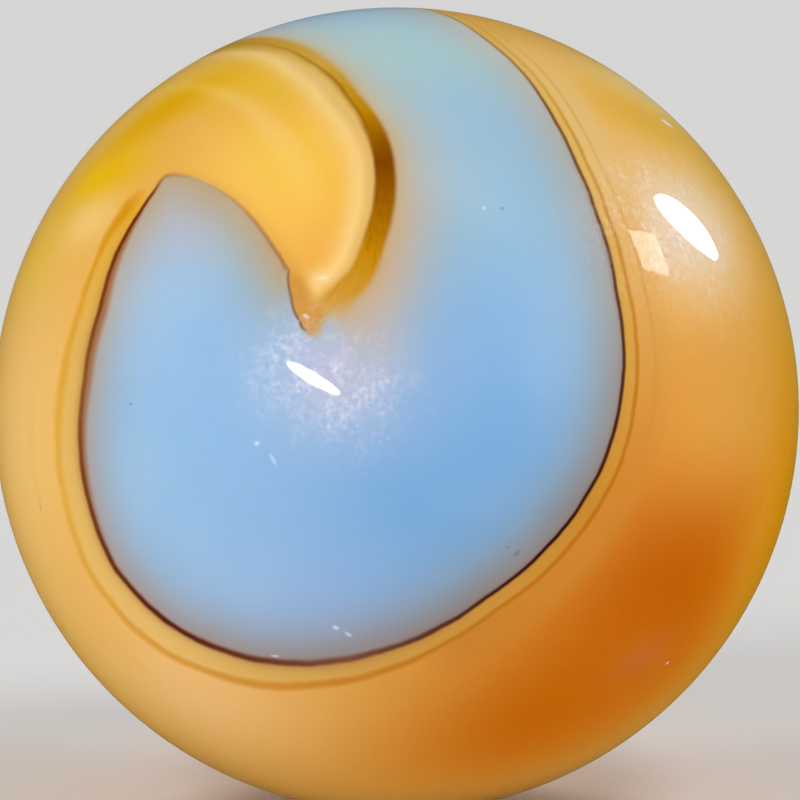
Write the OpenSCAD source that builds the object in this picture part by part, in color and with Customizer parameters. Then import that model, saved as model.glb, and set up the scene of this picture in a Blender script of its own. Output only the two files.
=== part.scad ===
// Glass marble: one ball fused from two glasses, honey amber and milky blue.
// The blue winds round the ball as one ribbon, from a wide lobe on the front to a
// pointed tail at the back, and the amber fills what it leaves.
//
// Frame: origin at the ball's centre, +Z up, the wide lobe towards -Y.
// A direction is given as [turn, rise]: degrees round from -Y towards +X, and
// degrees up from the equator.

/* [Ball] */
// Diameter of the ball
ball_d = 16; // [12:0.1:25]

/* [Swirl] */
// Turn of the front pole, the point that the swirl winds round
pole_turn = -12; // [-40:1:40]
// Rise of the front pole
pole_rise = 19; // [-30:1:45]

/* [Shear mark] */
// Length of the crease that the shears left at the front pole
crease_l = 1.4; // [0.8:0.1:2]
// Width of the crease
crease_w = 0.16; // [0.1:0.02:0.3]

/* [Hidden] */

ball_r = ball_d / 2;

// A straight crease this long is as deep as the ball's surface falls away beside it,
// and this round tool then leaves it as wide as stated
crease_h = crease_l * crease_l / (8 * ball_r);
crease_r = (crease_w * crease_w / 4 + crease_h * crease_h) / (2 * crease_h);

// The ribbon's two edges as [winding, tilt]. Winding is degrees of turn about the
// front pole, anticlockwise from straight up and running on past 360. Tilt is
// degrees away from the front pole, so 180 is the back pole.
near_edge = [
    [28, 9], [38, 5.5], [60, 2.2], [105, 1], [292, 1], [308, 5], [313, 9.5],
    [325, 15], [336, 23], [346, 30.5], [358, 38.5], [368, 48.5], [377, 59],
    [387, 72], [408, 90], [430, 109], [446, 131], [468, 150], [490, 165], [504, 173]
];
far_edge = [
    [28, 9.5], [31, 16], [36, 24.5], [41, 31], [47, 37.3], [50, 36], [60, 35.5],
    [84, 35], [100, 37.5], [120, 43.6], [135, 48.3], [150, 50], [168, 49.6],
    [190, 47.3], [215, 45], [250, 45.2], [285, 43.8], [300, 44.8], [312, 47],
    [322, 50.4], [332, 55.2], [343, 61.3], [354, 71], [366, 84], [380, 100],
    [394, 122], [407, 143], [415, 151], [422, 162], [428, 172], [440, 178], [504, 178.5]
];
// Degrees of winding from one section of the ribbon to the next
winding_step = 4;
// Degrees of winding over which the edges' corners are eased
ease = 2;
// The ribbon's floor inside the ball, and its top, which stands clear of the ball
ribbon_floor = 0.35 * ball_r;
ribbon_top = 1.25 * ball_r;

first_winding = near_edge[0][0];
last_winding = near_edge[len(near_edge) - 1][0];
windings = [for (w = [first_winding : winding_step : last_winding]) w];

function eased(edge, winding) =
    (lookup(winding - ease, edge) + 2 * lookup(winding, edge) + lookup(winding + ease, edge)) / 4;

function ray(winding, tilt, length) =
    length * [cos(winding) * sin(tilt), sin(winding) * sin(tilt), cos(tilt)];

// Stands its children on the ball's surface, with their +Z outward
module on_ball(turn, rise) {
    rotate([90 - rise, 0, turn])
        rotate(90)
            translate([0, 0, ball_r])
                children();
}

module ball() {
    sphere(r = ball_r, $fn = 128);
}

// One section of the ribbon for each winding, four corners each
module ribbon() {
    corners = [
        for (w = windings)
            for (c = [
                [near_edge, ribbon_floor],
                [far_edge, ribbon_floor],
                [far_edge, ribbon_top],
                [near_edge, ribbon_top]
            ])
                ray(w, eased(c[0], w), c[1])
    ];
    last = len(windings) - 1;
    sides = [
        for (s = [0 : last - 1])
            for (k = [0 : 3])
                [4 * s + k, 4 * s + (k + 1) % 4, 4 * s + 4 + (k + 1) % 4, 4 * s + 4 + k]
    ];
    first_cap = [3, 2, 1, 0];
    last_cap = [for (k = [0 : 3]) 4 * last + k];
    rotate([90 - pole_rise, 0, pole_turn])
        rotate(90)
            polyhedron(corners, concat([first_cap], sides, [last_cap]));
}

module blue_glass() {
    color("lightskyblue")
        intersection() {
            ball();
            ribbon();
        }
}

module amber_glass() {
    color("goldenrod")
        difference() {
            ball();
            ribbon();
        }
}

// A fold along the surface that runs out to nothing at both ends
module shear_crease() {
    on_ball(pole_turn, pole_rise)
        translate([0, 0, crease_r - crease_h])
            rotate([0, 90, 0])
                cylinder(r = crease_r, h = 1.2 * crease_l, center = true, $fn = 48);
}

module marble() {
    difference() {
        union() {
            blue_glass();
            amber_glass();
        }
        color("sienna") shear_crease();
    }
}

marble();
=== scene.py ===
import math
import bmesh
import bpy
import numpy as np
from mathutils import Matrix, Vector
from mathutils.kdtree import KDTree


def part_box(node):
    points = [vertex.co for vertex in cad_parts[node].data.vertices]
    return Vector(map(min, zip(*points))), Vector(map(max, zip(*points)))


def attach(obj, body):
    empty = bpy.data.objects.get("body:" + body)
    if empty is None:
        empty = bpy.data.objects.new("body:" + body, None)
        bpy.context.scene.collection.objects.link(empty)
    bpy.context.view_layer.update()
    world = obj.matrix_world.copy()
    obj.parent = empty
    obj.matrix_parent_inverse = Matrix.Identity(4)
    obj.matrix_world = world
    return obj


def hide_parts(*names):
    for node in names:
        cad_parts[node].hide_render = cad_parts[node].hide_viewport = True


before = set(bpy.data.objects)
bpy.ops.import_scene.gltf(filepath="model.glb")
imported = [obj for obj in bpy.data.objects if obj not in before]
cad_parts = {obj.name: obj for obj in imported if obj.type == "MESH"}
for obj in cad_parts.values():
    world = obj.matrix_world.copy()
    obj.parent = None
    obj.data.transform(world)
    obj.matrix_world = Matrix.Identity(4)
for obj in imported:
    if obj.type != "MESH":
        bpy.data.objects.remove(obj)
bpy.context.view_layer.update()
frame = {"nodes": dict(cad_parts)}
print("frame loaded:", ", ".join(frame["nodes"]))

# Directions on the ball are (turn, rise) in degrees: turn goes round from -Y towards +X, and rise goes up
# from the equator. Distances over the surface are in degrees too, and small sizes are in millimetres.
mm = 0.001
ballLow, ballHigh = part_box("marble")
ballRadius = (ballHigh.z - ballLow.z) / 2


def direction(turn, rise):
    turn, rise = math.radians(turn), math.radians(rise)
    return np.array([math.sin(turn) * math.cos(rise), -math.cos(turn) * math.cos(rise), math.sin(rise)])


def smooth(low, high, value):
    share = np.clip((value - low) / (high - low), 0, 1)
    return share * share * (3 - 2 * share)


def linear(tone):
    # a display colour, 0 to 255, as the renderer's linear light
    part = np.asarray(tone, float) / 255
    return np.where(part <= 0.04045, part / 12.92, ((part + 0.055) / 1.055) ** 2.4)


# camera
camera = {
    "rise": 8,  # degrees above the horizon
    "distance": 160 * mm,
    "halfFrame": 0.049727,  # half the picture's width at a distance of 1
    "aimRight": 0.0736 * mm,  # the middle of the picture, off the ball's centre
    "aimUp": 0.199 * mm,
    "sensorWidth": 36,
    "clip": (0.01, 10),
}


def placeCamera(camera):
    rise = math.radians(camera["rise"])
    towards = Vector((0, -math.cos(rise), math.sin(rise)))
    up = Vector((0, math.sin(rise), math.cos(rise)))
    aim = Vector((camera["aimRight"], 0, 0)) + up * camera["aimUp"]
    eye = bpy.data.objects.new("camera", bpy.data.cameras.new("camera"))
    bpy.context.scene.collection.objects.link(eye)
    eye.location = aim + towards * camera["distance"]
    eye.rotation_euler = (math.pi / 2 - rise, 0, 0)
    eye.data.sensor_width = camera["sensorWidth"]
    eye.data.lens = camera["sensorWidth"] / 2 / camera["halfFrame"]
    eye.data.clip_start, eye.data.clip_end = camera["clip"]
    bpy.context.scene.camera = eye


placeCamera(camera)
print("camera placed")

# studio
studio = {
    "skyStrength": 0.24,
    "skyTone": (250, 251, 255),
    "floorTone": (240, 239, 237),
    "floorRoughness": 0.9,
    "floorSpecular": 0.1,
    "floorHalf": 2.5,
    "lampDistance": 1,
}
# soft suns, not seen in the gloss: turn, rise, irradiance over pi on a surface that faces them, and
# softness in degrees
suns = {
    "key": (-35, 35, 0.233, 20),
    "left": (-85, 15, 0.233, 20),
    "right": (85, 15, 0.243, 20),
    "low": (0, 5, 0.3, 8),
    "top": (40, 55, 0.195, 20),
    "back": (180, 35, 0.22, 20),
}
# small lamps, the only things seen in the gloss: shape, turn, rise, then width, height and roll in
# degrees as seen from the ball, and radiance
softBoxes = {
    "frontStreak": ("ELLIPSE", -24, 16, 17, 3, -25, 40),
    "window": ("ELLIPSE", 123, 25, 9, 18, 30, 28),
    "windowPane": ("RECTANGLE", 99, 31, 9, 9, 55, 9),
}


def lampObject(name, data, towards, distance):
    lamp = bpy.data.objects.new(name, data)
    bpy.context.scene.collection.objects.link(lamp)
    towards = Vector(towards).normalized()
    lamp.location = towards * distance
    lamp.rotation_euler = towards.to_track_quat("Z", "Y").to_euler()
    return lamp


def lightStudio():
    distance = studio["lampDistance"]
    for name, (turn, rise, strength, softness) in suns.items():
        data = bpy.data.lights.new(name, "SUN")
        data.energy = strength * math.pi
        data.angle = math.radians(softness)
        lampObject(name, data, direction(turn, rise), distance).visible_glossy = False
    for name, (shape, turn, rise, width, height, roll, radiance) in softBoxes.items():
        data = bpy.data.lights.new(name, "AREA")
        data.shape = shape
        data.size = 2 * distance * math.tan(math.radians(width / 2))
        data.size_y = 2 * distance * math.tan(math.radians(height / 2))
        data.energy = radiance * math.pi * data.size * data.size_y
        lamp = lampObject(name, data, direction(turn, rise), distance)
        lamp.rotation_euler.rotate_axis("Z", math.radians(roll))
        lamp.visible_diffuse = False
    world = bpy.data.worlds.new("studioSky")
    world.use_nodes = True
    sky = world.node_tree.nodes["Background"]
    sky.inputs["Color"].default_value = (*linear(studio["skyTone"]), 1)
    sky.inputs["Strength"].default_value = studio["skyStrength"]
    world.cycles_visibility.glossy = False
    bpy.context.scene.world = world
    bpy.context.scene.view_settings.view_transform = "Standard"


def layFloor():
    half = studio["floorHalf"]
    mesh = bpy.data.meshes.new("studioFloor")
    corners = [(x * half, y * half, ballLow.z) for x, y in ((-1, -1), (1, -1), (1, 1), (-1, 1))]
    mesh.from_pydata(corners, [], [(0, 1, 2, 3)])
    floor = bpy.data.objects.new("studioFloor", mesh)
    bpy.context.scene.collection.objects.link(floor)
    floor.visible_glossy = False
    paint = bpy.data.materials.new("paleFloor")
    paint.use_nodes = True
    shader = paint.node_tree.nodes["Principled BSDF"]
    shader.inputs["Base Color"].default_value = (*linear(studio["floorTone"]), 1)
    shader.inputs["Roughness"].default_value = studio["floorRoughness"]
    shader.inputs["Specular IOR Level"].default_value = studio["floorSpecular"]
    mesh.materials.append(paint)


lightStudio()
layFloor()
print("studio lit")

# the ball
ball = {
    "cells": 112,  # cells along each side of the cube that is rounded into the ball
    "waveDepth": 0.003,  # mm, the slow unevenness of a pressed and tumbled ball
    "waveLength": 2.2,  # mm
    "waveSeed": 4,
}


def addNode(tree, kind, sources=None, **settings):
    # sources: what feeds the node's inputs, sockets or plain values
    made = tree.nodes.new(kind)
    for name, value in settings.items():
        setattr(made, name, value)
    for name, source in (sources or {}).items():
        if isinstance(source, bpy.types.NodeSocket):
            tree.links.new(source, made.inputs[name])
        else:
            made.inputs[name].default_value = source
    return made


def ballTree(material):
    tree = bpy.data.node_groups.new("marbleBall", "GeometryNodeTree")
    tree.is_modifier = True
    face = tree.interface
    face.new_socket("Geometry", in_out="INPUT", socket_type="NodeSocketGeometry")
    for name, kind in (("Radius", "Float"), ("Cells", "Int"), ("Wave Depth", "Float"),
                       ("Wave Length", "Float"), ("Wave Seed", "Float")):
        face.new_socket(name, in_out="INPUT", socket_type="NodeSocket" + kind)
    face.new_socket("Geometry", in_out="OUTPUT", socket_type="NodeSocketGeometry")
    given = addNode(tree, "NodeGroupInput").outputs

    def made(kind, sources, **settings):
        return addNode(tree, kind, sources, **settings).outputs[0]

    # a cube whose rows are spread by equal angles, so that its cells come out even on the ball
    rows = made("ShaderNodeMath", {0: given["Cells"], 1: 1}, operation="ADD")
    cube = made("GeometryNodeMeshCube", {"Size": (2, 2, 2), "Vertices X": rows, "Vertices Y": rows,
                                         "Vertices Z": rows})
    place = made("GeometryNodeInputPosition", {})
    angle = made("ShaderNodeVectorMath", {0: place, "Scale": math.pi / 4}, operation="SCALE")
    spread = made("ShaderNodeVectorMath", {0: angle}, operation="TANGENT")
    outward = made("ShaderNodeVectorMath", {0: spread}, operation="NORMALIZE")
    # the slow waves only sink, so the ball never grows past its diameter
    often = made("ShaderNodeMath", {0: given["Radius"], 1: given["Wave Length"]}, operation="DIVIDE")
    wave = made("ShaderNodeTexNoise", {"Vector": outward, "W": given["Wave Seed"], "Scale": often,
                                       "Detail": 1}, noise_dimensions="4D")
    sunk = made("ShaderNodeMath", {0: wave, 1: given["Wave Depth"]}, operation="MULTIPLY")
    reach = made("ShaderNodeMath", {0: given["Radius"], 1: sunk}, operation="SUBTRACT")
    skin = made("ShaderNodeVectorMath", {0: outward, "Scale": reach}, operation="SCALE")
    rounded = made("GeometryNodeSetPosition", {"Geometry": cube, "Position": skin})
    shaded = made("GeometryNodeSetShadeSmooth", {"Geometry": rounded})
    real = made("GeometryNodeRealizeInstances", {"Geometry": shaded})
    dressed = made("GeometryNodeSetMaterial", {"Geometry": real, "Material": material})
    addNode(tree, "NodeGroupOutput", {"Geometry": dressed})
    return tree


def makeBall(material):
    tree = ballTree(material)
    holder = bpy.data.objects.new("ballHolder", bpy.data.meshes.new("ballHolder"))
    bpy.context.scene.collection.objects.link(holder)
    maker = holder.modifiers.new("marbleBall", "NODES")
    maker.node_group = tree
    sizes = {
        "Radius": ballRadius,
        "Cells": ball["cells"],
        "Wave Depth": ball["waveDepth"] * mm,
        "Wave Length": ball["waveLength"] * mm,
        "Wave Seed": ball["waveSeed"],
    }
    for socket in tree.interface.items_tree:
        if socket.in_out == "INPUT" and socket.name in sizes:
            maker[socket.identifier] = sizes[socket.name]
    ready = holder.evaluated_get(bpy.context.evaluated_depsgraph_get())
    mesh = bpy.data.meshes.new_from_object(ready)
    bpy.data.objects.remove(holder)
    mesh.name = "swirlMarble"
    return mesh


# small wear: nicks, pits and the crease where the shears cut the gob, some with painted glints
# each mark: turn, rise, length and width in mm, roll, depth in mm, then the pale share and the dark share
# from 0 to 1:
# pale is frost on chips and nicks, and a painted glint on the glints, the spark and a pit's lit side;
# dark is grime, and a painted shadow on a pit's shaded side
marks = {
    # one pit, with a painted highlight on its lit side and a painted shadow beside it
    "pitHighlight": (15.1, 36.6, 0.09, 0.08, 0, 0.01, 0.55, 0),
    "pitShadow": (18.3, 36.4, 0.1, 0.07, 0, 0.012, 0, 0.35),
    "chipRound": (-19.3, 3.1, 0.11, 0.09, 0, 0.018, 0.6, 0),
    "chipLong": (-17, 1, 0.26, 0.07, -60, 0.018, 0.45, 0),
    "nickLeft": (-9, -23.3, 0.14, 0.08, -30, 0.015, 0.7, 0),
    "nickRight": (-7.2, -24.3, 0.18, 0.07, -35, 0.015, 0.6, 0),
    "lineGlint": (-19.3, -28.5, 0.18, 0.05, 0, 0.01, 0.6, 0),
    "smudgeUpper": (15.7, -11.3, 0.1, 0.07, 0, 0.008, 0, 0.22),
    "smudgeLower": (17.1, -12.2, 0.2, 0.07, 35, 0.01, 0, 0.3),
    "speckLeft": (-39.8, 7, 0.08, 0.06, 0, 0.008, 0, 0.4),
    "dashLeft": (-61.5, -9.8, 0.22, 0.06, 90, 0.008, 0, 0.3),
    "tipGlint": (-11.1, 26.2, 0.26, 0.07, 5, 0.008, 0.35, 0),
    "tipSpark": (-13.2, 20.7, 0.16, 0.09, -30, 0.01, 0.5, 0),
    "rimNick": (77.5, 47.1, 0.36, 0.16, -40, 0.02, 0.7, 0),
    "dotRight": (52.2, -33.3, 0.09, 0.07, 0, 0.01, 0.6, 0),
}
crease = {
    "path": [(-16.3, 23.8), (-15, 21.9), (-13.6, 19.7), (-12.4, 18)],  # (turn, rise)
    "width": 0.14,  # mm
    "depth": 0.02,
    "steps": 12,  # points along each stretch of the path
    "fineEvery": 6,  # the mesh is made finer round every sixth of them
}
wearEdges = {
    "dent": 1.35,  # how far a dent's slope runs past the mark's own outline
    "markTint": (0.6, 1.2),  # where its frost and painted glint, or its grime and painted shadow, fades
    "groove": 1.3,
}
fineMesh = {
    "reach": 0.45,  # mm round a mark where the mesh is made finer
    "rounds": 2,
    "shrink": 0.8,  # how much less far each round reaches
}


def surfaceAxes(turn, rise, roll):
    turn, rise, roll = math.radians(turn), math.radians(rise), math.radians(roll)
    east = np.array([math.cos(turn), math.sin(turn), 0])
    north = np.array([-math.sin(turn) * math.sin(rise), math.cos(turn) * math.sin(rise), math.cos(rise)])
    return east * math.cos(roll) + north * math.sin(roll), north * math.cos(roll) - east * math.sin(roll)


def refineNear(mesh, spots):
    bm = bmesh.new()
    bm.from_mesh(mesh)
    tree = KDTree(len(spots))
    for number, spot in enumerate(spots):
        tree.insert(spot, number)
    tree.balance()
    reach = fineMesh["reach"] * mm
    for fineRound in range(fineMesh["rounds"]):
        close = [e for e in bm.edges if tree.find((e.verts[0].co + e.verts[1].co) / 2)[2] < reach]
        bmesh.ops.subdivide_edges(bm, edges=close, cuts=1, use_grid_fill=True)
        reach *= fineMesh["shrink"]
    bmesh.ops.triangulate(bm, faces=[f for f in bm.faces if len(f.verts) > 4])
    bm.to_mesh(mesh)
    bm.free()


def vertexPlaces(mesh):
    places = np.empty(len(mesh.vertices) * 3, np.float32)
    mesh.vertices.foreach_get("co", places)
    return places.reshape(-1, 3).astype(float)


def addVectors(mesh, name, values):
    # three values for each corner, kept under one name for the material
    layer = mesh.attributes.new(name, "FLOAT_VECTOR", "POINT")
    layer.data.foreach_set("vector", np.stack(values, 1).astype(np.float32).ravel())


def creasePoints():
    ends = [direction(*p) for p in crease["path"]]
    shares = np.linspace(0, 1, crease["steps"])
    points = [a + (b - a) * t for a, b in zip(ends, ends[1:]) for t in shares]
    return np.array([p / np.linalg.norm(p) for p in points])


# dents the marks and the crease, and gives each corner its pale share (frost and painted glints) and its
# dark share (grime and a painted shadow)
def wearDown(mesh):
    places = vertexPlaces(mesh)
    outward = places / np.linalg.norm(places, axis=1, keepdims=True)
    sink = np.zeros(len(places))
    frostAndGlint = np.zeros(len(places))
    grimeAndShade = np.zeros(len(places))
    for turn, rise, length, width, roll, depth, frostAndGlintShare, grimeAndShadeShare in marks.values():
        along, across = surfaceAxes(turn, rise, roll)
        facing = outward @ direction(turn, rise) > 0.9  # not the far side, where the axes run on
        far = np.hypot(outward @ along * ballRadius / (length / 2 * mm),
                       outward @ across * ballRadius / (width / 2 * mm))
        dent = np.where(facing, 1 - smooth(0, wearEdges["dent"], far), 0)
        markTint = np.where(facing, 1 - smooth(*wearEdges["markTint"], far), 0)
        sink = np.maximum(sink, dent * depth * mm)
        frostAndGlint = np.maximum(frostAndGlint, markTint * frostAndGlintShare)
        grimeAndShade = np.maximum(grimeAndShade, markTint * grimeAndShadeShare)
    fold = creasePoints()
    gap = np.full(len(places), np.inf)
    close = outward @ fold[len(fold) // 2] > 0.98  # only the ball's skin round the crease
    gap[close] = np.linalg.norm(outward[close, None] - fold[None], axis=2).min(1) * ballRadius / mm
    groove = 1 - smooth(0, crease["width"] / 2 * wearEdges["groove"], gap)
    sink = np.maximum(sink, groove * crease["depth"] * mm)
    mesh.vertices.foreach_set("co", (places - outward * sink[:, None]).astype(np.float32).ravel())
    mesh.update()
    return frostAndGlint, grimeAndShade, np.zeros(len(places))


# the swirl: one ribbon of blue wound round the front pole
# both edges as (winding, tilt): winding is degrees of turn about the front pole, anticlockwise from
# straight up and running on past 360, and tilt is degrees away from the front pole
swirl = {
    "frontPole": (-12, 19),
    "nearEdge": [
        (28, 9), (38, 5.5), (60, 2.2), (105, 1), (292, 1), (308, 5), (313, 9.5), (325, 15), (336, 23), (346, 30.5), (358, 38.5), (368, 48.5), (377, 59), (387, 72), (408, 90),
        (430, 109), (446, 131), (468, 150), (490, 165), (504, 173),
    ],
    "farEdge": [
        (28, 9.5), (31, 16), (36, 24.5), (41, 31),
        (47, 37.3), (50, 36), (60, 35.5), (84, 35), (100, 37.5), (120, 43.6), (135, 48.3), (150, 50),
        (168, 49.6), (190, 47.3), (215, 45), (250, 45.2), (285, 43.8), (300, 44.8), (312, 47),
        (322, 50.4), (332, 55.2), (343, 61.3), (354, 71), (366, 84), (380, 100), (394, 122), (407, 143),
        (415, 151), (422, 162), (428, 172), (440, 178), (504, 178.5),
    ],
    "ease": 2,  # degrees of winding over which a corner of an edge is rounded
    "step": 0.25,  # degrees of winding between the points of an edge
    "change": 0.5,  # degrees over which the far edge's looks give way to the near edge's
    "farSwitch": 0.15,  # half width of the change from amber to blue at the far edge
    "behind": (85, 120),  # tilt over which the streaks of the hidden side set in
}
# how the edges look: one row for each place along them, (winding, ...), straight between rows
lineRows = {
    "middle": -0.1,  # how far inside the blue it lies
    "half": [(28, 0.4), (70, 0.65), (175, 0.8), (220, 0.45), (504, 0.4)],
    "strength": [(26, 0), (28, 0.8), (40, 0), (48, 0.5), (52, 1), (325, 1), (366, 0.3), (400, 1),
                 (470, 1), (504, 0.4)],
    "tone": [(28, (165, 115, 70)), (60, (110, 35, 5)), (100, (140, 85, 40)), (150, (85, 30, 15)),
             (185, (130, 85, 65)), (230, (50, 10, 10)), (290, (105, 60, 30)), (340, (140, 100, 40)),
             (504, (120, 75, 35))],
}
bandRows = {
    "width": [(56, 0.8), (80, 1.7), (150, 0.8), (215, 0.8)],
    "strength": [(54, 0), (64, 1), (118, 1), (140, 0.4), (170, 1), (215, 0.3), (300, 0.3), (330, 0)],
    "tone": [(80, (160, 110, 70)), (200, (155, 125, 115))],
}
# the first and the second thread of dark amber, beside the line
threadRows = {
    "edge": 0.4,  # degrees over which the tone between the line and the first thread ends
    "offset": [(50, 2.6), (76, 4), (100, 5), (145, 6), (175, 4), (205, 2.5), (250, 2.5), (295, 1.8),
               (340, 1.5), (405, 3.5), (430, 4.5), (460, 2.5), (504, 2)],
    "half": [(50, 1.2), (58, 1.8), (72, 0.8), (100, 1.4), (175, 1), (205, 0.5), (400, 0.5), (430, 1.2),
             (460, 0.7), (504, 0.5)],
    "strength": [(51, 0), (58, 1), (85, 0.7), (190, 0.9), (320, 0.9), (360, 0.2), (395, 0.9), (470, 0.9),
                 (504, 0)],
    "tone": [(60, (215, 145, 5)), (120, (225, 165, 55)), (240, (190, 110, 20)), (330, (205, 155, 55)),
             (450, (200, 130, 35))],
}
secondRows = {
    "offset": [(100, 13), (150, 13), (160, 5), (250, 6), (310, 4), (340, 3.5), (400, 6), (430, 8.5),
               (470, 5)],
    "half": [(100, 1.6), (150, 1.6), (200, 0.5), (340, 0.5), (430, 0.9), (470, 0.6)],
    "strength": [(98, 0), (112, 0.35), (142, 0.35), (152, 0), (195, 0), (250, 0.9), (330, 0.8), (350, 0),
                 (398, 0), (412, 0.6), (470, 0.6), (488, 0)],
    "tone": [(150, (230, 180, 90)), (240, (210, 135, 45)), (310, (220, 175, 105)), (440, (200, 125, 35))],
}
# the dark edge of the amber tongue, on the near edge
crescentRows = {
    "strength": [(28, 0.4), (31, 0.85), (36, 1), (105, 1)],
    "width": [(28, 1.5), (45, 3.2), (310, 3.3), (346, 2.8), (358, 2.2), (366, 2.4), (384, 4.6),
              (415, 2.4), (432, 3.4), (450, 2.2), (470, 3), (504, 1)],
    "softness": [(28, 1.4), (105, 0.9), (300, 0.7), (310, 0.45), (345, 0.35), (366, 1), (384, 1.8),
                 (420, 0.7), (440, 1.1), (504, 0.6)],
    "tone": [(28, (210, 155, 70)), (300, (215, 165, 75)), (322, (200, 140, 10)), (342, (130, 70, 0)),
             (354, (190, 135, 5)), (366, (205, 160, 60)), (420, (165, 100, 20)), (504, (215, 155, 75))],
    "switch": [(28, 0.25), (76, 0.6), (105, 1), (300, 1), (322, 0.45), (346, 0.4), (376, 0.8)],
    "shift": [(292, 0), (305, 0.2), (346, 0)],
    "dapple": [(28, 0), (316, 0.2), (330, 0.5), (348, 0.5), (356, 0.1), (395, 0.1), (410, 0.6)],
}
# a darker thread along the crescent's inner side
innerRows = {
    "offset": [(344, 2.5), (360, 1.6), (380, 2.3)],
    "half": 0.45,
    "strength": [(342, 0), (350, 0.8), (360, 0.9), (385, 0)],
    "tone": (160, 105, 5),
}
# the thin dark line that goes on down the tip's left side
tipLineRows = {
    "half": 0.3,
    "strength": [(26, 0), (28, 0.9), (80, 0.9), (170, 0)],
    "tone": (150, 105, 75),
}
# soft patches of fine scuffs, and of fine hairlines along the flow, round the highlights: painted glints
# where the worn glass catches the lamps, seen as pale grain, bright specks and pale hairlines
# each patch: turn, rise, half width, half height, roll, strength
scuffGlints = {
    "front": (-11, 11.5, 9, 6, -45, 0.9),
    "frontRight": (-3, 12, 6, 6, 0, 0.4),
    "frontLeft": (-17, 14, 4, 5, 0, 0.3),
    "window": (52, 32, 12, 9, 0, 0.85),
}
hairlineGlints = {
    "window": (52, 33, 15, 11, 0, 0.9),
    "windowLow": (57, 18, 9, 7, 0, 0.35),
}


def alongRows(rows, winding):
    at = [row[0] for row in rows]
    if isinstance(rows[0][1], tuple):
        return np.stack([np.interp(winding, at, part) for part in zip(*(row[1] for row in rows))], -1)
    return np.interp(winding, at, [row[1] for row in rows])


def poleAxes():
    pole = direction(*swirl["frontPole"])
    up = np.array([0, 0, 1]) - pole * pole[2]
    up /= np.linalg.norm(up)
    return pole, up, np.cross(pole, up)


def eased(edge, winding):
    at, tilt = np.array(edge, float).T
    shifts = ((-swirl["ease"], 0.25), (0, 0.5), (swirl["ease"], 0.25))
    return sum(share * np.interp(winding + shift, at, tilt) for shift, share in shifts)


def edgePoints(edge):
    pole, up, side = poleAxes()
    winding = np.arange(edge[0][0], edge[-1][0] + swirl["step"] / 2, swirl["step"])
    tilt = np.append(edge[0][1], eased(edge, winding))  # both edges set out from one point
    winding = np.append(edge[0][0], winding)
    tilt = np.radians(tilt)[:, None]
    turn = np.radians(winding)[:, None]
    return winding, np.cos(tilt) * pole + np.sin(tilt) * (np.cos(turn) * up + np.sin(turn) * side)


def gapToEdge(outward, edge):
    # degrees to the nearest point of an edge, and that point's winding
    winding, points = edgePoints(edge)
    tree = KDTree(len(points))
    for number, point in enumerate(points):
        tree.insert(point, number)
    tree.balance()
    nearest = np.array([tree.find(place)[1] for place in outward])
    best = np.full(len(outward), np.inf)
    where = np.zeros(len(outward))
    for shift in (-1, 0):
        first = np.clip(nearest + shift, 0, len(points) - 2)
        start, step = points[first], points[first + 1] - points[first]
        share = np.clip(((outward - start) * step).sum(1) / (step * step).sum(1), 0, 1)
        gap = np.linalg.norm(outward - start - step * share[:, None], axis=1)
        closer = gap < best
        best = np.where(closer, gap, best)
        where = np.where(closer, winding[first] + share * (winding[first + 1] - winding[first]), where)
    return np.degrees(2 * np.arcsin(best / 2)), where


def inRibbon(outward):
    pole, up, side = poleAxes()
    tilt = np.degrees(np.arccos(np.clip(outward @ pole, -1, 1)))
    turn = np.degrees(np.arctan2(outward @ side, outward @ up)) % 360
    near, far = swirl["nearEdge"], swirl["farEdge"]
    inside = np.zeros(len(outward), bool)
    for winding in (turn, turn + 360):
        wound = (winding >= near[0][0]) & (winding <= near[-1][0])
        inside |= wound & (tilt > eased(near, winding)) & (tilt < eased(far, winding))
    return inside


# broad colour of the two glasses: a plain tone and soft oval clouds laid over it, in this order
# each cloud: turn, rise, half width, half height, roll, tone
amberGlass = {
    "plain": (230, 170, 80),
    "clouds": {
        "behind": (180, -5, 70, 75, 0, (240, 170, 70)),
        "behindPale": (148, 30, 12, 38, 50, (255, 220, 150)),
        "behindDeep": (128, -22, 11, 26, -25, (215, 110, 10)),
        "behindCream": (105, 48, 9, 30, 60, (250, 215, 145)),
        "behindGold": (165, -38, 28, 9, 12, (245, 180, 40)),
        "behindOrange": (206, -52, 34, 12, -14, (220, 130, 20)),
        "behindPeach": (238, -22, 12, 26, 18, (255, 215, 140)),
        "behindFog": (146, -8, 8, 20, 38, (240, 190, 120)),
        "sidePeach": (-101, 8, 8, 28, -18, (250, 205, 125)),
        "sideDeep": (-113, -4, 5, 22, -24, (225, 145, 35)),
        "behindRed": (160, 6, 20, 4, 8, (215, 120, 20)),
        "deepPool": (47, -20, 22, 26, -15, (190, 85, 0)),
        "deepLow": (31, -38, 26, 16, 40, (205, 110, 10)),
        "rimGold": (74, -8, 14, 28, 0, (220, 140, 15)),
        "midGold": (51, 6, 18, 14, 0, (225, 160, 70)),
        "upperPale": (46, 57, 14, 10, -40, (240, 190, 115)),
        "upperGold": (67, 47, 16, 8, -45, (230, 170, 60)),
        "tongue": (-21, 44, 16, 16, 0, (250, 200, 90)),
        "tongueTop": (-48, 59, 16, 6, 10, (235, 185, 60)),
        "rootGold": (-64, 51, 12, 5, 60, (225, 160, 10)),
        "yellow": (-66, 38, 9, 5, 30, (240, 180, 5)),
        "paleSpot": (-62, 31, 7, 4, 20, (250, 205, 125)),
        "leftAmber": (-73, 24, 10, 8, 0, (235, 180, 60)),
        "leftPeach": (-63, 0, 14, 24, 0, (240, 190, 110)),
        "lowPeach": (-36, -36, 18, 16, -20, (240, 190, 120)),
        # a painted sheen: the window lamp's glow on the worn glass round its highlight
        "windowWearSheen": (55, 31, 14, 11, 0, (240, 215, 185)),
        "moonFog": (44, -31, 6, 4, 20, (200, 110, 40)),
    },
}
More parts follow.
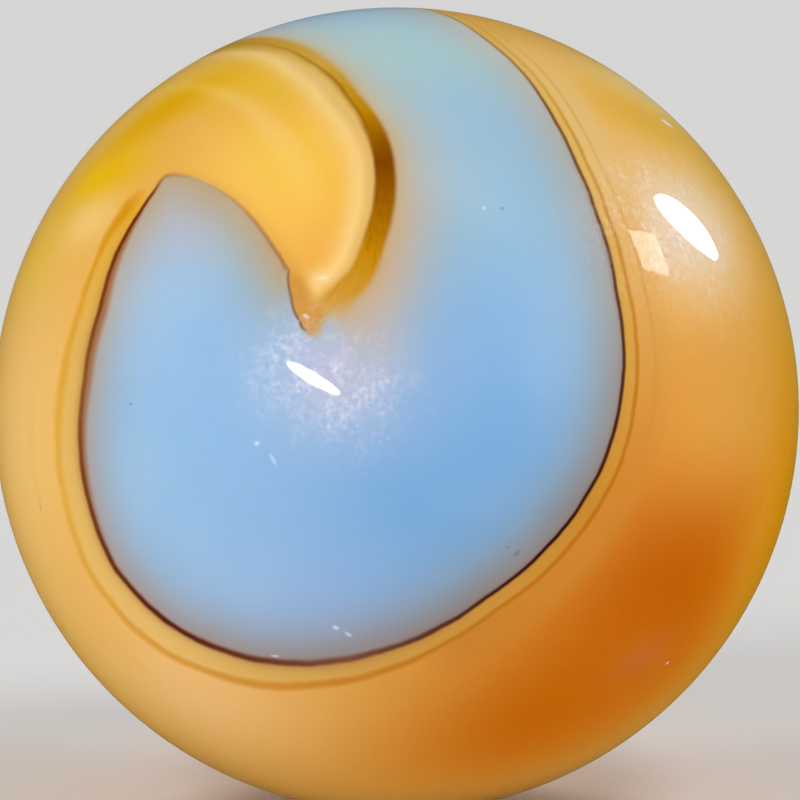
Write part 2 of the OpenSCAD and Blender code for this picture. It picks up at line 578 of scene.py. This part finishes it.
blueGlass = {
    "plain": (150, 190, 225),
    "clouds": {
        "behind": (195, 15, 42, 60, 0, (125, 180, 225)),
        "behindDeep": (200, 5, 9, 30, -12, (85, 160, 215)),
        "behindPale": (188, -28, 20, 10, 25, (175, 205, 240)),
        "topCyan": (1, 69, 24, 16, 0, (165, 205, 210)),
        "upperBlue": (15, 40, 16, 16, 0, (155, 195, 220)),
        "leftLavender": (-39, 34, 10, 10, 0, (180, 185, 205)),
        "leftBlue": (-28, 8, 16, 20, 0, (150, 190, 225)),
        "lowBlue": (-10, -24, 20, 12, 0, (160, 190, 230)),
        "deepBlue": (8, 2, 18, 20, 0, (125, 175, 220)),
        # a painted sheen: the front lamp's glow on the worn glass round its highlight
        "frontWearSheen": (-8, 13, 10, 9, 0, (190, 195, 220)),
        "tongueTan": (-3, 27, 5, 12, -10, (190, 190, 190)),
    },
}
# tones that follow the far edge, as (winding, tone): between the line and the first thread, past the
# threads, and the shade close to the line
besideRows = [(50, (225, 165, 40)), (100, (220, 180, 95)), (150, (230, 190, 110)),
              (240, (205, 145, 50)), (310, (225, 185, 95)), (450, (235, 180, 85))]
outerRows = {
    "tone": [(250, (210, 140, 50)), (310, (230, 190, 120))],
    "strength": [(196, 0), (206, 0.85), (325, 0.85), (345, 0)],
    "out": (5.5, 10),
}
lineShade = {
    "tone": (165, 115, 70),
    "reach": 0.85,
    "strength": [(26, 0.3), (58, 0), (90, 0.8), (180, 0.9), (210, 0.15), (345, 0.2)],
}
# the pale rim inside the tongue's outer edge: from which winding, how far in, and the shade outside it
creamRim = {
    "from": 306,
    "middle": 4.7,
    "reach": 2,
    "tone": (245, 208, 135),
    "strength": [(306, 0.9), (312, 1), (370, 0.9), (400, 0)],
    "shade": (225, 185, 105),
    "shadeOut": (3.4, 5),
}
# faint arcs inside the tongue, along its outer side: how far in, half width, and how strong by winding
tongueArcs = {
    "deep": {"offset": [(326, 7.5), (350, 10), (374, 10)], "half": 1.1,
             "strength": [(318, 0), (374, 0.4), (384, 0)], "tone": (235, 180, 40)},
    "pale": {"offset": [(330, 12), (374, 14)], "half": 1.2,
             "strength": [(322, 0), (374, 0.3), (386, 0)], "tone": (255, 220, 160)},
    "inner": {"offset": [(330, 16.5), (374, 17)], "half": 1.3,
              "strength": [(326, 0), (374, 0.15), (386, 0)], "tone": (235, 175, 30)},
}
# where the blue glass grows hazy: towards the line, close to the crescent, and wider round the crescent
lineFringe = {
    "reach": 5.5,
    "power": 1.5,
    "tone": [(50, (190, 165, 130)), (120, (170, 155, 150)), (240, (145, 135, 130)),
             (340, (190, 190, 180))],
}
crescentFringe = {
    "reach": 1.1,
    "tone": [(300, (200, 170, 115))],
}
crescentHalo = {
    "reach": 6,
    "power": 1.3,
    "tone": [(300, (205, 180, 165)), (330, (200, 175, 150)), (365, (185, 195, 185))],
    "strength": [(296, 0), (306, 1)],
}
# where the tongue ends: tan stains, and haze that runs in under the crescent's tail
# each stain: turn, rise, half width, half height, roll, tone, strength on the amber and on the blue
tipStains = {
    "left": (-14.6, 25.1, 2.9, 1.1, -57, (205, 145, 50), 0.45, 0),
    "low": (-11.5, 20.3, 1.7, 0.9, -83, (210, 150, 70), 0.9, 0.63),
    "middle": (-12.2, 22.4, 1.3, 0.9, -60, (220, 165, 85), 0.4, 0),
    "cream": (-11.4, 26.3, 1.6, 0.9, 5, (250, 215, 165), 0.5, 0),
}
tipHaze = (-8.9, 20.6, 3, 1.2, 42, 0.95)


def cloudShare(outward, turn, rise, halfWidth, halfHeight, roll):
    along, across = surfaceAxes(turn, rise, roll)
    ahead = outward @ direction(turn, rise)
    wide = np.degrees(np.arctan2(outward @ along, ahead)) / halfWidth
    high = np.degrees(np.arctan2(outward @ across, ahead)) / halfHeight
    return np.exp(-(wide * wide + high * high))


def blend(tone, other, share):
    return tone + (np.asarray(other, float) - tone) * share[:, None]


def laidClouds(outward, glass):
    tone = np.tile(np.array(glass["plain"], float), (len(outward), 1))
    for *shape, cloudTone in glass["clouds"].values():
        tone = blend(tone, cloudTone, cloudShare(outward, *shape))
    return tone


def patchStrength(outward, patches):
    return sum(cloudShare(outward, *shape) * strength for *shape, strength in patches.values())


def paintSwirl(mesh):
    places = vertexPlaces(mesh)
    outward = places / np.linalg.norm(places, axis=1, keepdims=True)
    farGap, farWinding = gapToEdge(outward, swirl["farEdge"])
    nearGap, nearWinding = gapToEdge(outward, swirl["nearEdge"])
    blue = inRibbon(outward)
    seam = np.where(blue, -1, 1) * np.minimum(farGap, nearGap)
    nearShare = smooth(-swirl["change"], swirl["change"], farGap - nearGap)
    farShare = 1 - nearShare

    def byFar(rows):
        return alongRows(rows, farWinding)

    def byNear(rows):
        return alongRows(rows, nearWinding)

    lineGap = seam - lineRows["middle"] * farShare
    linePlace = lineGap / byFar(lineRows["half"])
    switchGap = lineGap + byNear(crescentRows["shift"]) * nearShare
    switchPlace = switchGap / (swirl["farSwitch"] * farShare + byNear(crescentRows["switch"]) * nearShare)
    bandPlace = lineGap / byFar(bandRows["width"])
    threadPlace = (seam - byFar(threadRows["offset"])) / byFar(threadRows["half"])
    secondPlace = (seam - byFar(secondRows["offset"])) / byFar(secondRows["half"])
    innerPlace = (seam - byNear(innerRows["offset"])) / innerRows["half"]
    crescentPlace = (byNear(crescentRows["width"]) - seam) / byNear(crescentRows["softness"])

    # the amber glass: clouds, the cream rim and the arcs of the tongue, and what follows the far edge
    amber = laidClouds(outward, amberGlass)
    rimEdge = [row for row in swirl["nearEdge"] if row[0] >= creamRim["from"]]
    rimGap, rimWinding = gapToEdge(outward, rimEdge)
    rimPlace = np.maximum(rimGap - creamRim["middle"], 0) / creamRim["reach"]
    rimStrength = alongRows(creamRim["strength"], rimWinding) * np.where(blue, 0, 1)
    amber = blend(amber, creamRim["tone"], np.exp(-rimPlace ** 2) * rimStrength)
    amber = blend(amber, creamRim["shade"], (1 - smooth(*creamRim["shadeOut"], rimGap)) * rimStrength)
    for arc in tongueArcs.values():
        arcPlace = (rimGap - alongRows(arc["offset"], rimWinding)) / arc["half"]
        amber = blend(amber, arc["tone"], np.exp(-arcPlace ** 2) * alongRows(arc["strength"], rimWinding))
    outerShare = (1 - smooth(*outerRows["out"], farGap)) * farShare
    amber = blend(amber, byFar(outerRows["tone"]), outerShare * byFar(outerRows["strength"]))
    besideGap = farGap - byFar(threadRows["offset"])
    besideShare = (1 - smooth(-threadRows["edge"], threadRows["edge"], besideGap)) * farShare
    amber = blend(amber, byFar(besideRows), besideShare * byFar(threadRows["strength"]))
    shadeShare = np.exp(-farGap / lineShade["reach"]) * farShare
    amber = blend(amber, lineShade["tone"], shadeShare * byFar(lineShade["strength"]))

    # the blue glass, hazier near its edges, and the crescent
    blueTone = laidClouds(outward, blueGlass)
    blueTone = blend(blueTone, byFar(lineFringe["tone"]),
                     np.exp(-(farGap / lineFringe["reach"]) ** lineFringe["power"]))
    haloStrength = byNear(crescentHalo["strength"])
    blueTone = blend(blueTone, byNear(crescentHalo["tone"]),
                     np.exp(-(nearGap / crescentHalo["reach"]) ** crescentHalo["power"]) * haloStrength)
    blueTone = blend(blueTone, byNear(crescentFringe["tone"]),
                     np.exp(-nearGap / crescentFringe["reach"]) * haloStrength)
    crescentTone = byNear(crescentRows["tone"])
    for *shape, stainTone, onAmber, onBlue in tipStains.values():
        share = cloudShare(outward, *shape)
        amber = blend(amber, stainTone, share * onAmber)
        crescentTone = blend(crescentTone, stainTone, share * onAmber)
        blueTone = blend(blueTone, stainTone, share * onBlue)
    hazeShare = patchStrength(outward, {"tip": tipHaze})
    amber = blend(amber, blueTone, hazeShare)
    crescentTone = blend(crescentTone, blueTone, hazeShare)

    tilt = np.degrees(np.arccos(np.clip(outward @ poleAxes()[0], -1, 1)))
    behind = smooth(*swirl["behind"], tilt)
    streaky = finish["streakStrength"] + (finish["streakBehind"] - finish["streakStrength"]) * behind
    vectors = {
        "places": (linePlace, threadPlace, secondPlace),
        "edges": (switchPlace, crescentPlace, bandPlace),
        "strengths": [byFar(rows["strength"]) * farShare for rows in (lineRows, threadRows, secondRows)],
        "tip": (seam / tipLineRows["half"], byNear(tipLineRows["strength"]) * nearShare,
                byNear(crescentRows["strength"]) * nearShare),
        "inner": (innerPlace, byNear(innerRows["strength"]) * nearShare,
                  byFar(bandRows["strength"]) * farShare),
        "flow": (farGap, nearGap, streaky),
        "glintsAndDapple": (patchStrength(outward, scuffGlints), patchStrength(outward, hairlineGlints),
                   byNear(crescentRows["dapple"])),
    }
    tones = {
        "amberTone": amber,
        "blueTone": blueTone,
        "lineTone": byFar(lineRows["tone"]),
        "bandTone": byFar(bandRows["tone"]),
        "threadTone": byFar(threadRows["tone"]),
        "secondTone": byFar(secondRows["tone"]),
        "crescentTone": crescentTone,
    }
    for name, values in vectors.items():
        addVectors(mesh, name, values)
    for name, values in tones.items():
        layer = mesh.attributes.new(name, "FLOAT_COLOR", "POINT")
        full = np.concatenate([linear(values), np.ones((len(values), 1))], 1)
        layer.data.foreach_set("color", full.astype(np.float32).ravel())


# the glass: a clear coat over a body that glows from inside
glassValues = {
    "Specular IOR Level": 0,
    "Coat Weight": 0.5,
    "Coat Roughness": 0.03,
    "Subsurface Weight": 0.8,
    "Subsurface Scale": 3.5 * mm,
    "Subsurface Radius": (1, 0.85, 0.7),
}
finish = {
    "roughness": 0.3,  # on the clean glass; the clouds, the scuffs and the frost add to it
    "roughCloud": 0.08,
    "roughWear": 0.3,
    "bumpStrength": 0.5,
    "bumpDepth": 0.0008,  # mm
    "bumpGrain": 1.5,
    "waver": 0.9,
    "paleStreak": (255, 220, 150),
    "deepStreak": (215, 130, 10),
    "streakStrength": 0.02,
    "streakBehind": 0.26,
    "veilTone": (215, 230, 240),
    "veilStrength": 0.1,
    # painted glints on the scuffs and hairlines, where they catch the lamps
    "scuffTone": (255, 250, 255),
    "scuffShade": (170, 180, 205),
    "glintGrainPart": (0.8, 0.2),  # how much of the grain keeps to the patches, and how much lies all over
    "grainStrength": 0.55,
    "shadeStrength": 0.25,
    "sparkleStrength": 0.5,
    "hairTone": (250, 240, 215),
    "hairStrength": 0.4,
    "dappleTone": (130, 70, 0),
    "dappleStrength": 0.6,
    "frostTone": (240, 240, 245),
    "grimeTone": (95, 75, 75),
}
# noise: how fine, per metre; detail; roughness
grains = {
    "waver": (1500, 2, 0.6),
    "cloud": (330, 2, 0.5),
    "veil": (260, 2, 0.6),
    "grain": (7500, 2, 0.65),
    "patch": (1700, 2, 0.6),
    "sparkle": (3600, 2, 0.6),
}
# noise drawn out along the flow: how fine across it, per degree, and along it, per metre
flows = {
    "streak": (0.16, 90),
    "dapple": (1.6, 420),
    "hair": (2.4, 240),
}
# the levels of noise between which each one comes in
levels = {
    "paleStreak": (0.5, 0.78),
    "paleCloud": (0.3, 0.6),
    "deepStreak": (0.5, 0.25),
    "deepCloud": (0.7, 0.4),
    "dapple": (0.45, 0.72),
    "veil": (0.42, 0.75),
    "patch": (0.38, 0.64),
    "grain": (0.36, 0.74),
    "shade": (0.5, 0.3),
    "sparkle": (0.62, 0.74),
    "hair": (0.56, 0.76),
}
# drawn lines: how far out each is full and where it is gone, in its own half widths
lineEnds = {
    "line": (0.2, 1.15),
    "thread": (0.1, 1.25),
    "second": (0.1, 1.2),
    "inner": (0, 1.3),
    "band": (-1.5, -0.5),
}


def swirlGlass():
    glass = bpy.data.materials.new("swirlGlass")
    glass.use_nodes = True
    tree = glass.node_tree
    shader = tree.nodes["Principled BSDF"]
    places = addNode(tree, "ShaderNodeTexCoord").outputs["Object"]

    def layer(name, output="Color"):
        return addNode(tree, "ShaderNodeAttribute", attribute_name=name).outputs[output]

    def parts(name):
        return addNode(tree, "ShaderNodeSeparateXYZ", {0: layer(name, "Vector")}).outputs

    def combined(operation, *values):
        total = values[0]
        for value in values[1:]:
            total = addNode(tree, "ShaderNodeMath", {0: total, 1: value}, operation=operation).outputs[0]
        return total

    def times(*values):
        return combined("MULTIPLY", *values)

    def plus(*values):
        return combined("ADD", *values)

    def ease(value, low, high, start=0, end=1):
        sources = {"Value": value, "From Min": low, "From Max": high, "To Min": start, "To Max": end}
        return addNode(tree, "ShaderNodeMapRange", sources, interpolation_type="SMOOTHSTEP").outputs[0]

    def coloured(tone):
        return (*linear(tone), 1) if isinstance(tone, tuple) else tone

    def mixed(share, first, second):
        sources = {"Factor": share, "A": coloured(first), "B": coloured(second)}
        return addNode(tree, "ShaderNodeMix", sources, data_type="RGBA").outputs["Result"]

    def drawn(name, place, strength):
        return times(ease(combined("ABSOLUTE", place, 0), *lineEnds[name], 1, 0), strength)

    def stretched(vector, scale):
        return addNode(tree, "ShaderNodeMapping", {"Vector": vector, "Scale": scale}).outputs[0]

    def noise(vector, scale, detail, rough):
        sources = {"Vector": vector, "Scale": scale, "Detail": detail, "Roughness": rough}
        return addNode(tree, "ShaderNodeTexNoise", sources).outputs["Fac"]

    def grainNoise(name):
        return noise(places, *grains[name])

    def flowNoise(name):
        # noise over the gaps to both edges, so that it runs with them
        wide, along = flows[name]
        gaps = stretched(layer("flow", "Vector"), (wide, wide, 0))
        drift = stretched(places, (along, along, along))
        flow = addNode(tree, "ShaderNodeVectorMath", {0: gaps, 1: drift}, operation="ADD").outputs[0]
        return noise(flow, 1, 2, 0.5)

    linePlace, threadPlace, secondPlace = parts("places")
    switchPlace, crescentPlace, bandPlace = parts("edges")
    lineStrength, threadStrength, secondStrength = parts("strengths")
    tipPlace, tipStrength, crescentStrength = parts("tip")
    innerPlace, innerStrength, bandStrength = parts("inner")
    scuffGlint, hairlineGlint, dappled = parts("glintsAndDapple")
    streaky = parts("flow")[2]
    # the marks' frost with painted glints, and their grime with a painted shadow
    frostAndGlint, grimeAndShade = parts("wearGlintsAndShade")[:2]

    # the drawn lines waver a little
    waver = times(plus(grainNoise("waver"), -0.5), finish["waver"])
    linePlace = plus(linePlace, waver)
    threadPlace = plus(threadPlace, waver)
    innerPlace = plus(innerPlace, waver)
    crescentPlace = plus(crescentPlace, times(waver, -1))

    # amber: streaks, the two threads, and the crescent on top of them
    streak = flowNoise("streak")
    cloud = grainNoise("cloud")
    amber = layer("amberTone")
    for kind in ("pale", "deep"):
        streaks, clouds = ease(streak, *levels[kind + "Streak"]), ease(cloud, *levels[kind + "Cloud"])
        amber = mixed(times(streaks, clouds, streaky), amber, finish[kind + "Streak"])
    amber = mixed(drawn("thread", threadPlace, threadStrength), amber, layer("threadTone"))
    amber = mixed(drawn("second", secondPlace, secondStrength), amber, layer("secondTone"))
    crescent = mixed(drawn("inner", innerPlace, innerStrength), layer("crescentTone"), innerRows["tone"])
    dapple = times(ease(flowNoise("dapple"), *levels["dapple"]), dappled, finish["dappleStrength"])
    crescent = mixed(dapple, crescent, finish["dappleTone"])
    amber = mixed(times(ease(crescentPlace, -1, 1), crescentStrength), amber, crescent)

    # blue: a pale veil and the band inside the line; then the two lines over both glasses
    veil = times(ease(grainNoise("veil"), *levels["veil"]), finish["veilStrength"])
    blue = mixed(veil, layer("blueTone"), finish["veilTone"])
    blue = mixed(times(ease(bandPlace, *lineEnds["band"]), bandStrength), blue, layer("bandTone"))
    tone = mixed(ease(switchPlace, -1, 1), blue, amber)
    tone = mixed(drawn("line", linePlace, lineStrength), tone, layer("lineTone"))
    tone = mixed(drawn("line", tipPlace, tipStrength), tone, tipLineRows["tone"])

    # scuffs: painted glints of the worn glass, pale grain in patches with a few bright specks, and pale
    # hairlines; a darker grain lies among the pale
    grain = grainNoise("grain")
    inPatches, allOver = finish["glintGrainPart"]
    patch = plus(times(ease(grainNoise("patch"), *levels["patch"]), inPatches), allOver)
    glintGrain = times(scuffGlint, patch, ease(grain, *levels["grain"]), finish["grainStrength"])
    shade = times(scuffGlint, patch, ease(grain, *levels["shade"]), finish["shadeStrength"])
    sparkle = times(scuffGlint, ease(grainNoise("sparkle"), *levels["sparkle"]), finish["sparkleStrength"])
    hair = times(hairlineGlint, ease(flowNoise("hair"), *levels["hair"]), finish["hairStrength"])
    for share, name in ((shade, "scuffShade"), (glintGrain, "scuffTone"), (sparkle, "scuffTone"),
                        (hair, "hairTone"), (frostAndGlint, "frostTone"), (grimeAndShade, "grimeTone")):
        tone = mixed(share, tone, finish[name])

    # gloss: a little uneven, dull where it is scuffed or chipped
    dull = plus(times(cloud, finish["roughCloud"]), times(plus(glintGrain, frostAndGlint), finish["roughWear"]))
    bumps = {
        "Strength": finish["bumpStrength"],
        "Distance": finish["bumpDepth"] * mm,
        "Height": times(glintGrain, finish["bumpGrain"]),
    }
    bump = addNode(tree, "ShaderNodeBump", bumps).outputs[0]
    for name, source in (("Base Color", tone), ("Roughness", plus(dull, finish["roughness"])),
                         ("Normal", bump), ("Coat Normal", bump)):
        tree.links.new(source, shader.inputs[name])
    for name, value in glassValues.items():
        shader.inputs[name].default_value = value
    return glass


glass = swirlGlass()
mesh = makeBall(glass)
print("ball rounded:", len(mesh.vertices), "corners")
spots = [Vector(direction(*mark[:2]) * ballRadius) for mark in marks.values()]
spots += [Vector(point * ballRadius) for point in creasePoints()[::crease["fineEvery"]]]
refineNear(mesh, spots)
wearGlintsAndShade = wearDown(mesh)
print("wear cut:", len(mesh.vertices), "corners")
paintSwirl(mesh)
addVectors(mesh, "wearGlintsAndShade", wearGlintsAndShade)
print("swirl painted")
marble = bpy.data.objects.new("swirlMarble", mesh)
bpy.context.scene.collection.objects.link(marble)
for polygon in mesh.polygons:
    polygon.use_smooth = True
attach(marble, "root")
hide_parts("marble")
